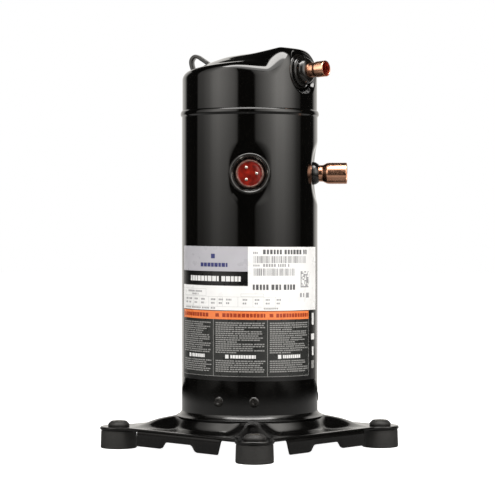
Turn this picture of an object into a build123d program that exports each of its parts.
"""Hermetic scroll compressor for refrigeration, built as separate pieces.

Millimetres, +Z up. The origin is on the shell's axis, at the bottom of the rubber feet.
Angles are in degrees about +Z, counted from +X.
"""

import math
import os

from build123d import *

os.makedirs("parts", exist_ok=True)

# Shell
SHELL_R = 69.85
SHELL_WALL = 3.0
BORE_R = SHELL_R - SHELL_WALL
SHELL_LOW = 37.5
SEAM_LOW = 341.5
SEAM_HIGH = 344.5
PAD_RHO = 64.4
PAD_R = 26.0
SUCTION_Z = 281.7
TERMINAL_Z = 279.8

# Top cap
CAP_R = 69.35
CAP_WALL = 3.0
CAP_CORNER_Z = 387.0
CAP_CROWN_Z = 404.6
CAP_CORNER_R = 10.0
BOSS_Z = 408.4
BOSS_CORNER_R = 15.0
DISCHARGE_ANGLE = 9.0
DISCHARGE_TILT = 3.0
DISCHARGE_Z = 384.0
POCKET_RHO = 58.5
POCKET_R = 20.5
HOOK_ANGLE = 205.0

# Fittings
SUCTION_ANGLE = 38.0
SUCTION_END = 100.2
SUCTION_SOCKET_R = 9.55
SUCTION_TUBE_R = 8.45
SPIGOT_R = 8.9
DISCHARGE_TUBE_R = 7.45
DISCHARGE_END = 92.8
DISCHARGE_BORE_R = 6.4
DISCHARGE_SOCKET_R = 7.05
TERMINAL_ANGLE = -47.0
TERMINAL_R = 15.4
CUP_LOW = 60.2
CUP_FLOOR = 62.4
CUP_IN_R = 12.3
PIN_CIRCLE_R = 6.9
PIN_TURNS = (0, 120, 240)
PIN_R = 1.6
PIN_ROOT_R = 2.2
PIN_HOLE_R = 2.25
PIN_SHOULDER = 65.8
BEAD_R = 3.15
PLUG_R = 9.6
PLUG_LOW = 51.5
PLUG_HIGH = 57.0

# Base and feet
PLATE = 3.2
FOOT_PITCH = 190.5
FOOT_AT = FOOT_PITCH / 2
FOOT_TOP = 18.8
PLATE_TOP = FOOT_TOP + PLATE
SIDE_AT = 105.0
EAR_R = 19.2
FLANGE_HALF = 59.0
FLANGE_LOW = 4.6
SLEEVE_BORE_R = 4.3
SLEEVE_R = 5.4
HEAD_TOP = 27.6
PLATE_HOLE_R = 9.6
DISH_FLOOR = 13.0
DISH_TOP = DISH_FLOOR + PLATE

# Scroll set
ORBIT = 4.1
WRAP = 2.9
STEP = 3.6
FIRST_ARC_R = 5.0
LAST_ARC_R = 41.0
ORBIT_PLATE_LOW = 308.0
ORBIT_PLATE_TOP = 318.0
FIXED_PLATE_LOW = 340.0
FIXED_TOP = 356.0
SKIRT_IN = 50.6
SKIRT_OUT = 54.4
BOLT_CIRCLE_R = 60.2
ARM_ANGLES = (-3.0, 87.0, 177.0, 267.0)
KEY_AT = 45.9
KEY_LONG = 6.0
KEY_WIDE = 7.0
KEY_GAP = 0.1

# Valves
RELIEF_RADIUS = 44.0
RELIEF_ANGLE = 120.0

# Bearings and shaft
MAIN_R = 15.0
PIN_JOURNAL_R = 8.45
HUB_BUSH_R = 12.5
LOWER_R = 9.5
RUNNING = 0.03
HOUSING_LOW = 248.0
BRACKET_Z = 52.0
BRACKET_ANGLES = (-58.6, 61.4, 181.4)
WELD_SPREAD = 15.2

# Motor
STATOR_LOW = 112.0
STATOR_HIGH = 188.0
STATOR_BORE_R = 33.2
ROTOR_R = 32.7
SHAFT_R = 12.0
RING_LOW = 106.0
CORE_LOW = 110.0
CORE_HIGH = 190.0
RING_HIGH = 194.0
COIL_LOW = 88.0
COIL_HIGH = 212.0
COIL_R = 57.0
COIL_IN_R = 37.0
SLOTS = 24
SLOT_IN_R = 38.0
SLOT_OUT_R = 55.0
SLOT_WIDE = 4.4

# Label
LABEL_LOW = 77.6
LABEL_HIGH = 207.4
LABEL_HALF_ANGLE = 73.5


def at_angle(radius, angle, height=0.0):
    """Point at a radius and an angle about the shell's axis."""
    turn = math.radians(angle)
    return (radius * math.cos(turn), radius * math.sin(turn), height)


def turned(points):
    """Solid of revolution about Z from its (radius, height) outline."""
    return revolve(make_face(Plane.XZ * Polyline(*points, close=True)), Axis.Z)


def disc(radius, low, high, x=0.0, y=0.0):
    """Upright cylinder between two heights."""
    middle = (low + high) / 2
    return Pos(x, y, middle) * Cylinder(radius, high - low)


def tube(outer, inner, low, high, x=0.0, y=0.0):
    """Upright ring between two heights."""
    return disc(outer, low, high, x, y) - disc(inner, low - 1, high + 1, x, y)


def block(length, width, low, high, x=0.0, y=0.0):
    """Box between two heights."""
    return Pos(x, y, (low + high) / 2) * Box(length, width, high - low)


def spun(solid, angle):
    """Copy turned about the shell's axis."""
    return Rot(0, 0, angle) * solid


def outward(angle, height, tilt=0.0):
    """Place a solid so that its +Z points out from the axis, its +Y up and its +X counterclockwise."""
    turn = math.radians(angle)
    rise = math.radians(tilt)
    direction = (math.cos(turn) * math.cos(rise), math.sin(turn) * math.cos(rise), math.sin(rise))
    across = (-math.sin(turn), math.cos(turn), 0)
    return Plane(origin=(0, 0, height), x_dir=across, z_dir=direction).location


def rounded(solid, radius, side):
    """Round the circular edges at the lower end (side 0) or the upper end (side -1) of a solid."""
    ends = solid.edges().filter_by(GeomType.CIRCLE).group_by(Axis.Z)
    return fillet(ends[side], radius)


# ---------------------------------------------------------------- casing


def pad_cut(depth, radius, angle, height):
    """Round volume outside a flattened pad, to take away from a shell."""
    return outward(angle, height) * disc(radius, depth, SHELL_R + 20)


def shell_tube():
    """Rolled tube with round flattened pads at the suction stub and at the terminal."""
    outer = disc(SHELL_R, SHELL_LOW, SEAM_LOW)
    inner = disc(BORE_R, SHELL_LOW - 1, SEAM_LOW + 1)
    for angle, height in ((SUCTION_ANGLE, SUCTION_Z), (TERMINAL_ANGLE, TERMINAL_Z)):
        outer -= pad_cut(PAD_RHO, PAD_R, angle, height)
        inner -= pad_cut(PAD_RHO - SHELL_WALL, PAD_R + SHELL_WALL, angle, height)
    wall = outer - inner
    wall -= suction_place() * disc(SUCTION_TUBE_R, 40, 80)
    wall -= terminal_place() * disc(TERMINAL_R, 40, 80)
    return wall


def cap_body(radius, drop):
    """Solid outline of the cap: a low cone with a raised side towards the discharge."""
    corner = CAP_CORNER_Z - drop
    crown = CAP_CROWN_Z - drop
    cone = turned(
        ((0, SEAM_HIGH), (radius, SEAM_HIGH), (radius, corner), (20, crown - 2), (0, crown))
    )
    rim = cone.edges().filter_by(GeomType.CIRCLE).group_by(SortBy.RADIUS)[-1].sort_by(Axis.Z)[-1]
    cone = fillet(rim, CAP_CORNER_R - drop / 2)
    top = BOSS_Z - drop
    raised = rounded(disc(radius, SEAM_HIGH, top), BOSS_CORNER_R - drop / 2, -1)
    foot = Plane.XY.offset(CAP_CORNER_Z - 14) * Pos(30, 0) * Ellipse(74 - drop, 50 - drop)
    roof = Plane.XY.offset(BOSS_Z + 2) * Pos(50, 0) * Ellipse(44 - drop, 26 - drop)
    wedge = spun(loft([foot, roof]), DISCHARGE_ANGLE)
    return cone + (raised & wedge)


def top_cap():
    """Pressed cap with a pocket for the discharge fitting in its raised side."""
    place = discharge_place()
    outer = cap_body(CAP_R, 0.0) - place * disc(POCKET_R, POCKET_RHO, 110)
    inner = cap_body(CAP_R - CAP_WALL, CAP_WALL)
    inner += disc(CAP_R - CAP_WALL, SEAM_HIGH - 1, SEAM_HIGH + 1)
    inner -= place * disc(POCKET_R + CAP_WALL, POCKET_RHO - CAP_WALL, 110)
    return outer - inner - place * disc(SPIGOT_R, 40, 80)


def weld_bead():
    """Girth weld over the seam of tube, muffler plate and cap."""
    return turned(
        (
            (SHELL_R, SEAM_LOW - 2.6),
            (SHELL_R + 1.3, SEAM_LOW - 1.0),
            (SHELL_R + 1.3, SEAM_HIGH + 1.4),
            (CAP_R, SEAM_HIGH + 3.0),
            (CAP_R, SEAM_LOW),
            (SHELL_R, SEAM_LOW),
        )
    )


def muffler_plate():
    """Domed plate between the scrolls and the discharge chamber."""
    plate = turned(
        (
            (7.0, 359),
            (51.0, 359),
            (54.9, 356.9),
            (60.5, SEAM_LOW),
            (CAP_R, SEAM_LOW),
            (CAP_R, SEAM_HIGH),
            (62.6, SEAM_HIGH),
            (57.2, 358.6),
            (52.6, 362),
            (7.0, 362),
        )
    )
    return plate - relief_disc(4.0, 350, 370)


def lifting_hook():
    """Bent strap welded on the cap's shoulder."""
    path = Polyline((60.6, 386.0), (63.4, 395.0), (63.2, 400.6), (59.6, 403.4), (56.0, 403.0), (41.5, 395.0))
    strip = extrude(Plane.XZ * trace(path, 3.8), 4.0, both=True)
    return spun(strip, HOOK_ANGLE) - cap_body(CAP_R, 0.0)


def base_plate():
    """Stamped base: a dished floor, a hump that the tube sits on, four feet and turned-down flanges."""
    dish = turned(
        (
            (0, DISH_FLOOR),
            (57, DISH_FLOOR),
            (63.0, 20),
            (63.2, 34),
            (69.5, 34),
            (74, 31.5),
            (74, 35.5),
            (70.5, SHELL_LOW),
            (BORE_R, SHELL_LOW),
            (BORE_R - 0.1, 42),
            (63.4, 42),
            (60.0, 38),
            (59.8, 21),
            (55.6, DISH_TOP),
            (0, DISH_TOP),
        )
    )
    skirt = skirt_solid(0.0) - skirt_solid(PLATE) - disc(70.0, 0, 60)
    rim = square_outline(SIDE_AT, 24) - square_outline(SIDE_AT - PLATE, 21)
    walls = extrude(Plane.XY.offset(FLANGE_LOW) * rim, FOOT_TOP + 1.5 - FLANGE_LOW)
    keep = block(2 * FLANGE_HALF, 300, 0, 30) + block(300, 2 * FLANGE_HALF, 0, 30)
    notch = flange_notch() + spun(flange_notch(), 90)
    plate = dish + skirt + ((walls & keep) - notch)
    for corner in range(4):
        ear = disc(EAR_R, FOOT_TOP, PLATE_TOP, FOOT_AT, FOOT_AT)
        plate += spun(ear - disc(PLATE_HOLE_R, 0, 60, FOOT_AT, FOOT_AT), 90 * corner)
        plate -= spun(disc(PLATE_HOLE_R, 0, 60, FOOT_AT, FOOT_AT), 90 * corner)
    return plate


def square_outline(half, corner):
    """Square of a half width with round corners."""
    return RectangleRounded(2 * half, 2 * half, corner)


def skirt_solid(drop):
    """Solid under the sloping skirt that joins the round hump to the square rim."""
    upper = Plane.XY.offset(35.5 - drop) * Circle(73.0 - drop * 0.3)
    lower = Plane.XY.offset(PLATE_TOP - drop) * square_outline(SIDE_AT - 11, 26)
    slope = loft([lower, upper], ruled=True)
    inside = square_outline(SIDE_AT - drop * 3, 24)
    flat = extrude(Plane.XY.offset(FOOT_TOP - 2 * drop) * inside, PLATE + drop)
    return slope + flat + disc(70.5, 20, 35.5 - drop)


def flange_notch():
    """Wide notch in the lower edge of two opposite flanges."""
    side = Polyline((-24, 0), (-24, 5), (-18, 11.6), (18, 11.6), (24, 5), (24, 0), close=True)
    return extrude(make_face(Plane.XZ * side), 150, both=True)


def foot_at(index):
    """Centre of one foot."""
    return at_angle(FOOT_AT * math.sqrt(2), 45 + 90 * index)


def foot_grommets():
    """Four rubber mounts: a thick pad, a neck through the plate and a round head on top."""
    grommet = turned(
        (
            (SLEEVE_R, 0),
            (18.3, 0),
            (18.75, 1.0),
            (18.2, FOOT_TOP - 1.2),
            (17.2, FOOT_TOP),
            (9.4, FOOT_TOP),
            (9.4, PLATE_TOP),
            (10.6, PLATE_TOP),
            (11.2, 24.2),
            (8.2, 27.0),
            (7.0, HEAD_TOP),
            (SLEEVE_R, HEAD_TOP),
        )
    )
    return Compound(children=[Pos(*foot_at(index)) * grommet for index in range(4)])


def grommet_sleeves():
    """Steel spacer in each grommet for the mounting bolt."""
    sleeve = tube(SLEEVE_R, SLEEVE_BORE_R, 0.0, HEAD_TOP - 0.4)
    return Compound(children=[Pos(*foot_at(index)) * sleeve for index in range(4)])


def bracket_plug_welds():
    """Six round plug welds over the feet of the lower bearing bracket."""
    button = outward(0, BRACKET_Z) * rounded(disc(5.4, SHELL_R - 0.4, SHELL_R + 1.4), 0.9, -1)
    button -= disc(SHELL_R, 30, 80)
    turns = [leg + side * WELD_SPREAD for leg in BRACKET_ANGLES for side in (-1, 1)]
    return Compound(children=[spun(button, turn) for turn in turns])


def rating_label():
    """Printed film round the front of the shell."""
    film = tube(SHELL_R + 0.25, SHELL_R, LABEL_LOW, LABEL_HIGH)
    start = TERMINAL_ANGLE - LABEL_HALF_ANGLE
    first = at_angle(90, start)[:2]
    last = at_angle(90, start + 2 * LABEL_HALF_ANGLE)[:2]
    wedge = Plane.XY.offset(LABEL_LOW) * make_face(
        [Line((0, 0), first), RadiusArc(first, last, -90), Line(last, (0, 0))]
    )
    return film & extrude(wedge, LABEL_HIGH - LABEL_LOW)


# ---------------------------------------------------------------- fittings


def suction_place():
    """Placement of everything on the suction axis."""
    return outward(SUCTION_ANGLE, SUCTION_Z)


def suction_collar():
    """Steel ring brazed round the suction stub."""
    ring = turned(
        (
            (SUCTION_TUBE_R, PAD_RHO),
            (11.7, PAD_RHO),
            (12.0, 68.2),
            (10.2, 71.2),
            (SUCTION_TUBE_R, 71.6),
        )
    )
    return suction_place() * ring


def suction_stub():
    """Copper stub with a belled socket for the suction line."""
    pipe = turned(
        (
            (7.3, 56.0),
            (SUCTION_TUBE_R, 56.0),
            (SUCTION_TUBE_R, 75.5),
            (10.9, 79.0),
            (10.9, SUCTION_END),
            (SUCTION_SOCKET_R, SUCTION_END),
            (SUCTION_SOCKET_R, 80.5),
            (7.3, 77.0),
        )
    )
    return suction_place() * pipe


def suction_baffle():
    """Bent sheet that turns the incoming gas away from the motor."""
    sheet = tube(51.2, 50.0, 262, 289) & spun(block(40, 44, 250, 300, 50), SUCTION_ANGLE)
    for side in (-1, 1):
        wing = block(15.9, 1.2, 262, 289, 53.45, side * 21.4)
        sheet += spun(wing, SUCTION_ANGLE)
    return sheet


def discharge_place():
    """Placement of everything on the discharge axis."""
    rise = POCKET_RHO * math.sin(math.radians(DISCHARGE_TILT))
    return outward(DISCHARGE_ANGLE, DISCHARGE_Z - rise, DISCHARGE_TILT)


def discharge_collar():
    """Stepped steel collar that holds the discharge stub in the cap."""
    ring = turned(
        (
            (DISCHARGE_TUBE_R, 54.0),
            (SPIGOT_R, 54.0),
            (SPIGOT_R, POCKET_RHO),
            (18.0, POCKET_RHO),
            (18.0, 61.2),
            (15.6, 62.4),
            (15.6, 65.0),
            (13.4, 66.4),
            (13.0, 71.0),
            (10.6, 73.4),
            (DISCHARGE_TUBE_R, 73.8),
        )
    )
    return discharge_place() * ring


def discharge_stub():
    """Copper stub, slightly belled at its end for the discharge line."""
    pipe = turned(
        (
            (DISCHARGE_BORE_R, 50.0),
            (DISCHARGE_TUBE_R, 50.0),
            (DISCHARGE_TUBE_R, 81.0),
            (8.1, 82.4),
            (8.1, DISCHARGE_END),
            (DISCHARGE_SOCKET_R, DISCHARGE_END),
            (DISCHARGE_SOCKET_R, 82.6),
            (DISCHARGE_BORE_R, 81.2),
        )
    )
    return discharge_place() * pipe


def terminal_place():
    """Placement of everything on the terminal's axis."""
    return outward(TERMINAL_ANGLE, TERMINAL_Z)


def at_pin(turn):
    """Centre of one pin on the terminal, across and up."""
    return at_angle(PIN_CIRCLE_R, turn)[:2]


def terminal_fence():
    """Pressed ring round the terminal, which takes the cover."""
    ring = turned(
        (
            (15.8, PAD_RHO),
            (21.4, PAD_RHO),
            (21.4, 68.0),
            (20.2, 69.6),
            (18.4, 69.8),
            (16.8, 68.8),
            (15.8, 67.0),
        )
    )
    return terminal_place() * ring


def terminal_cup():
    """Steel cup of the hermetic terminal."""
    cup = turned(
        (
            (0, CUP_LOW),
            (TERMINAL_R, CUP_LOW),
            (TERMINAL_R, 65.8),
            (13.6, 67.2),
            (CUP_IN_R, 67.2),
            (CUP_IN_R, CUP_FLOOR),
            (0, CUP_FLOOR),
        )
    )
    for turn in PIN_TURNS:
        cup -= disc(BEAD_R + 0.05, 55, 70, *at_pin(turn))
    return terminal_place() * cup


def glass_seals():
    """Glass bead round each pin."""
    beads = [tube(BEAD_R, PIN_ROOT_R, CUP_LOW, CUP_FLOOR, *at_pin(turn)) for turn in PIN_TURNS]
    return terminal_place() * Compound(children=beads)


def terminal_face():
    """Red insulating disc in the cup."""
    face = disc(CUP_IN_R - 0.05, CUP_FLOOR + 0.1, 65.6)
    for turn in PIN_TURNS:
        face -= disc(PIN_HOLE_R, 55, 70, *at_pin(turn))
    return terminal_place() * face


def terminal_pins():
    """Three plated pins through the terminal."""
    pins = []
    for turn in PIN_TURNS:
        root = disc(PIN_ROOT_R, 50, PIN_SHOULDER, *at_pin(turn))
        pins.append(root + rounded(disc(PIN_R, 55, 73.5, *at_pin(turn)), 0.9, -1))
    return terminal_place() * Compound(children=pins)


def cover_clip():
    """Strip welded to the shell below the terminal, which the cover's strap hooks on."""
    strip = Rot(0, 0, -50) * Box(19.0, 2.8, 4.0)
    strip = outward(TERMINAL_ANGLE, TERMINAL_Z - 27.5) * Pos(-11.5, 0, SHELL_R - 0.6) * strip
    return strip & tube(SHELL_R + 1.2, SHELL_R, 200, 300)


def lead_block():
    """Moulded plug on the inner ends of the pins."""
    plug = disc(PLUG_R, PLUG_LOW, PLUG_HIGH)
    for turn in PIN_TURNS:
        plug -= disc(PIN_HOLE_R, 45, 70, *at_pin(turn))
    return terminal_place() * plug


# ---------------------------------------------------------------- valves above the scrolls


def check_valve_cage():
    """Seat ring, posts and stop of the discharge check valve."""
    cage = tube(13.0, 7.0, 362.0, 364.0) + tube(13.0, 3.0, 371.0, 372.6)
    for turn in (30, 150, 270):
        cage += spun(disc(1.4, 363.5, 371.5, 11.4), turn)
    return cage


def check_valve_disc():
    """Light disc that lifts off its seat in the discharge flow."""
    return disc(9.4, 364.1, 365.3)


def relief_disc(radius, low, high):
    """Upright cylinder on the relief cartridge's axis."""
    return disc(radius, low, high, *at_angle(RELIEF_RADIUS, RELIEF_ANGLE)[:2])


def relief_valve_body():
    """Pressure relief cartridge in the muffler plate."""
    hexagon = Plane.XY.offset(362.0) * RegularPolygon(6.5, 6)
    body = Pos(*at_angle(RELIEF_RADIUS, RELIEF_ANGLE)) * extrude(hexagon, 7.0)
    body += relief_disc(3.95, 358.0, 362.0)
    body -= relief_disc(2.6, 350, 368.0)
    return body - relief_disc(1.2, 350, 372.0)


def relief_valve_plunger():
    """Sliding plunger of the relief cartridge."""
    return relief_disc(2.55, 358.4, 363.4)


def floating_seal():
    """Pressure-loaded seal between the fixed scroll and the muffler plate."""
    return turned(
        (
            (22.4, 347.3),
            (46.6, 347.3),
            (46.6, 352.6),
            (27, 353),
            (27, 357.6),
            (24, 357.6),
            (22.4, 355),
        )
    )


# ---------------------------------------------------------------- scroll set


def wrap_solid(low, high):
    """Scroll wrap of half circles about two alternate centres, with round tips."""
    outline = Pos(*at_angle(FIRST_ARC_R, 60)) * Pos(-STEP, 0) * Circle(WRAP / 2)
    outline += Pos(STEP + LAST_ARC_R, 0) * Circle(WRAP / 2)
    radius = FIRST_ARC_R
    side = 1
    while radius < LAST_ARC_R + 0.1:
        ring = Circle(radius + WRAP / 2) - Circle(radius - WRAP / 2)
        half = Pos(0, side * 50) * Rectangle(200, 100)
        if radius == FIRST_ARC_R:
            half &= Rot(0, 0, 60) * Pos(0, 50) * Rectangle(200, 100)
        outline += Pos(-side * STEP, 0) * (ring & half)
        radius += 2 * STEP
        side = -side
    return extrude(Plane.XY.offset(low) * outline, high - low)


def fixed_scroll():
    """Non-orbiting scroll: plate, wrap, outer skirt with a suction window, four bolt lugs."""
    scroll = disc(SKIRT_OUT, FIXED_PLATE_LOW, FIXED_TOP) - tube(47.0, 22.0, 347.0, 360.0)
    scroll += tube(SKIRT_OUT, SKIRT_IN, 318.2, FIXED_PLATE_LOW)
    for angle in ARM_ANGLES:
        lug = block(16.5, 15.0, 322.0, 331.0, 56.5) - disc(SKIRT_IN, 320, 333)
        scroll += spun(lug - disc(4.8, 320, 333, BOLT_CIRCLE_R), angle)
    scroll -= spun(block(16.0, 26.0, 323.0, 337.0, 52.0), SUCTION_ANGLE)
    scroll += wrap_solid(318.1, FIXED_PLATE_LOW)
    return scroll - disc(4.0, 330.0, 360.0, 2.2, -1.6)


def orbiting_scroll():
    """Orbiting scroll: plate, wrap, hub and two key slots along Y."""
    scroll = disc(50.0, ORBIT_PLATE_LOW, ORBIT_PLATE_TOP) + tube(17.5, 14.0, 287.0, ORBIT_PLATE_LOW)
    scroll += spun(wrap_solid(ORBIT_PLATE_TOP, FIXED_PLATE_LOW - 0.1), 180)
    for side in (-1, 1):
        scroll -= block(KEY_WIDE + 2 * KEY_GAP, 14.0, 307.0, 312.0, 0, side * 45.3)
    return Pos(ORBIT, 0, 0) * scroll


def hub_bush():
    """Bearing bush in the orbiting scroll's hub."""
    return tube(14.0, HUB_BUSH_R, 288.0, 307.0, ORBIT)


def drive_bush():
    """Bush on the crank pin that drives the hub."""
    return tube(HUB_BUSH_R - RUNNING, PIN_JOURNAL_R + 0.05, 288.0, 303.0, ORBIT)


def thrust_ring():
    """Flat ring that floats between the orbiting plate and the housing's thrust land."""
    return tube(35.9, 24.6, 306.2, 307.8, ORBIT / 2)


def oldham_ring():
    """Coupling ring whose keys let the orbiting scroll circle without turning."""
    ring = tube(48.8, 43.0, 301.3, 305.3)
    for side in (-1, 1):
        ring += block(KEY_LONG, KEY_WIDE, 296.3, 301.5, side * KEY_AT)
        ring += block(KEY_WIDE, KEY_LONG - 0.4, 305.1, 311.5, 0, side * KEY_AT)
    return Pos(ORBIT, 0, 0) * ring


# ---------------------------------------------------------------- housing and bearings


def main_bearing_housing():
    """Cast housing: bearing hub, hollow for the orbiting hub, thrust land, key slots, four arms."""
    body = turned(
        (
            (17.0, HOUSING_LOW),
            (24.0, HOUSING_LOW),
            (24.0, 277),
            (31.0, 285),
            (51.0, 292),
            (58.0, 299),
            (58.0, ORBIT_PLATE_TOP),
            (54.6, ORBIT_PLATE_TOP),
            (54.6, 301),
            (38.5, 301),
            (38.5, 306),
            (22.5, 306),
            (22.5, 284),
            (17.0, 282),
        )
    )
    arm = block(20.0, 24.0, 302.0, ORBIT_PLATE_TOP, 60.0) & tube(BORE_R, 55.5, 300, 320)
    for angle in ARM_ANGLES:
        body += spun(arm, angle)
        body -= spun(disc(3.0, 304.0, 320.0, BOLT_CIRCLE_R), angle)
    slot = 2 * (KEY_LONG / 2 + ORBIT + 0.5)
    for side in (-1, 1):
        body -= block(slot, KEY_WIDE + 2 * KEY_GAP, 296.0, 301.5, side * KEY_AT)
    return body


def main_bush():
    """Main bearing bush."""
    return tube(17.0, MAIN_R, HOUSING_LOW + 1, 281.0)


def scroll_bolts():
    """Four flanged bolts that hold the fixed scroll over its sleeves."""
    head = extrude(Plane.XY.offset(333.2) * RegularPolygon(5.6, 6), 4.6)
    bolt = disc(3.0, 305.0, 332.5) + disc(5.6, 332.0, 333.4) + head
    return Compound(children=[spun(Pos(BOLT_CIRCLE_R, 0, 0) * bolt, angle) for angle in ARM_ANGLES])


def bolt_sleeves():
    """Four sleeves that guide the fixed scroll's small axial float."""
    sleeve = tube(4.6, 3.05, ORBIT_PLATE_TOP, 332.0, BOLT_CIRCLE_R)
    return Compound(children=[spun(sleeve, angle) for angle in ARM_ANGLES])


def lower_bracket():
    """Three-armed bracket that carries the lower bearing."""
    bracket = tube(16.0, 11.0, 42.0, 64.0)
    for angle in BRACKET_ANGLES:
        arm = block(52.0, 22.0, 48.0, 51.2, 39.0) - disc(12.0, 40, 70)
        foot = tube(BORE_R, 63.6, 46.0, 60.0) & block(30.0, 46.0, 40, 70, 60.0)
        bracket += spun(arm + foot, angle)
    return bracket


def lower_bush():
    """Lower bearing bush."""
    return tube(11.0, LOWER_R, 43.0, 63.0)


def thrust_washer():
    """Washer under the shaft's shoulder."""
    return tube(14.5, 9.9, 64.0, 65.8)


# ---------------------------------------------------------------- shaft and motor


def crankshaft():
    """Shaft with lower journal, rotor seat, main journal, crank pin and oil gallery."""
    shaft = turned(
        (
            (0, 38),
            (LOWER_R - RUNNING, 38),
            (LOWER_R - RUNNING, 66),
            (SHAFT_R, 66),
            (SHAFT_R, 240),
            (MAIN_R - RUNNING, 243),
            (MAIN_R - RUNNING, 284.5),
            (0, 284.5),
        )
    )
    shaft += disc(PIN_JOURNAL_R, 284.0, 304.5, ORBIT)
    shaft -= disc(3.2, 30.0, 90.0)
    return shaft - disc(2.0, 80.0, 310.0, ORBIT)


def oil_pickup():
    """Tube in the shaft's lower end that draws oil from the sump."""
    return tube(3.2, 2.2, 22.0, 46.0)


def counterweight(low, high, side):
    """Half ring on one side of the shaft."""
    return tube(31.0, SHAFT_R, low, high) & block(40.0, 80.0, low, high, side * 20.0)


def upper_counterweight():
    """Half ring bolted on the rotor's upper end, away from the crank pin."""
    return counterweight(RING_HIGH, COIL_HIGH, -1)


def lower_counterweight():
    """Half ring bolted under the rotor, on the crank pin's side."""
    return counterweight(COIL_LOW, RING_LOW, 1)


def rotor_core():
    """Stack of rotor laminations."""
    return tube(ROTOR_R, SHAFT_R, CORE_LOW, CORE_HIGH)


def rotor_end_rings():
    """Cast aluminium rings that close the rotor's cage."""
    lower = tube(30.0, 18.0, RING_LOW, CORE_LOW)
    upper = tube(30.0, 18.0, CORE_HIGH, RING_HIGH)
    return Compound(children=[lower, upper])


def slot_bars(inner, outer, width, low, high):
    """One bar for each stator slot."""
    bar = block(outer - inner, width, low, high, (outer + inner) / 2)
    return [spun(bar, 360 / SLOTS * index) for index in range(SLOTS)]


def stator_core():
    """Stack of stator laminations, shrunk into the tube, with slots and four gas flats."""
    core = tube(BORE_R, STATOR_BORE_R, STATOR_LOW, STATOR_HIGH)
    core -= slot_bars(SLOT_IN_R, SLOT_OUT_R, SLOT_WIDE, STATOR_LOW - 1, STATOR_HIGH + 1)
    for turn in (0, 90, 180, 270):
        core -= spun(block(10.0, 60.0, STATOR_LOW - 1, STATOR_HIGH + 1, 69.6), turn)
    return core


def windings():
    """Copper coils: two end turns joined through the slots."""
    coil = rounded(tube(COIL_R, COIL_IN_R, STATOR_HIGH, COIL_HIGH), 6.0, -1)
    coil += rounded(tube(COIL_R, COIL_IN_R, COIL_LOW, STATOR_LOW), 6.0, 0)
    low, high = STATOR_LOW - 1, STATOR_HIGH + 1
    for bar in slot_bars(SLOT_IN_R + 0.2, SLOT_OUT_R - 0.2, SLOT_WIDE - 0.2, low, high):
        coil += bar
    return coil


def motor_protector():
    """Thermal protector strapped on the upper end turn."""
    return spun(block(12.0, 26.0, COIL_HIGH, 221.0, 47.0), 120.0)


def motor_leads():
    """Three leads from the windings up to the lead block."""
    plug = terminal_place() * disc(PLUG_R, PLUG_LOW, PLUG_HIGH)
    leads = []
    for y in (-4, 0, 4):
        lead = spun(disc(1.4, COIL_HIGH, 276.0, 54.5 - abs(y) / 5, y), TERMINAL_ANGLE)
        leads.append(lead - plug)
    return Compound(children=leads)


def sump_magnet():
    """Ring magnet on the sump's floor."""
    return tube(18.0, 9.0, DISH_TOP, 20.0)


PIECES = {
    "shell_tube": shell_tube,
    "top_cap": top_cap,
    "girth_weld": weld_bead,
    "muffler_plate": muffler_plate,
    "lifting_hook": lifting_hook,
    "base_plate": base_plate,
    "foot_grommets": foot_grommets,
    "grommet_sleeves": grommet_sleeves,
    "bracket_plug_welds": bracket_plug_welds,
    "rating_label": rating_label,
    "suction_collar": suction_collar,
    "suction_stub": suction_stub,
    "suction_baffle": suction_baffle,
    "discharge_collar": discharge_collar,
    "discharge_stub": discharge_stub,
    "terminal_fence": terminal_fence,
    "terminal_cup": terminal_cup,
    "terminal_face": terminal_face,
    "terminal_pins": terminal_pins,
    "glass_seals": glass_seals,
    "cover_clip": cover_clip,
    "lead_block": lead_block,
    "motor_leads": motor_leads,
    "check_valve_cage": check_valve_cage,
    "check_valve_disc": check_valve_disc,
    "relief_valve_body": relief_valve_body,
    "relief_valve_plunger": relief_valve_plunger,
    "floating_seal": floating_seal,
    "fixed_scroll": fixed_scroll,
    "orbiting_scroll": orbiting_scroll,
    "hub_bush": hub_bush,
    "drive_bush": drive_bush,
    "thrust_ring": thrust_ring,
    "oldham_ring": oldham_ring,
    "main_bearing_housing": main_bearing_housing,
    "main_bush": main_bush,
    "scroll_bolts": scroll_bolts,
    "bolt_sleeves": bolt_sleeves,
    "lower_bracket": lower_bracket,
    "lower_bush": lower_bush,
    "thrust_washer": thrust_washer,
    "crankshaft": crankshaft,
    "oil_pickup": oil_pickup,
    "upper_counterweight": upper_counterweight,
    "lower_counterweight": lower_counterweight,
    "rotor_core": rotor_core,
    "rotor_end_rings": rotor_end_rings,
    "stator_core": stator_core,
    "windings": windings,
    "motor_protector": motor_protector,
    "sump_magnet": sump_magnet,
}

for node, make in PIECES.items():
    export_step(make(), f"parts/{node}.step")
    print(node)
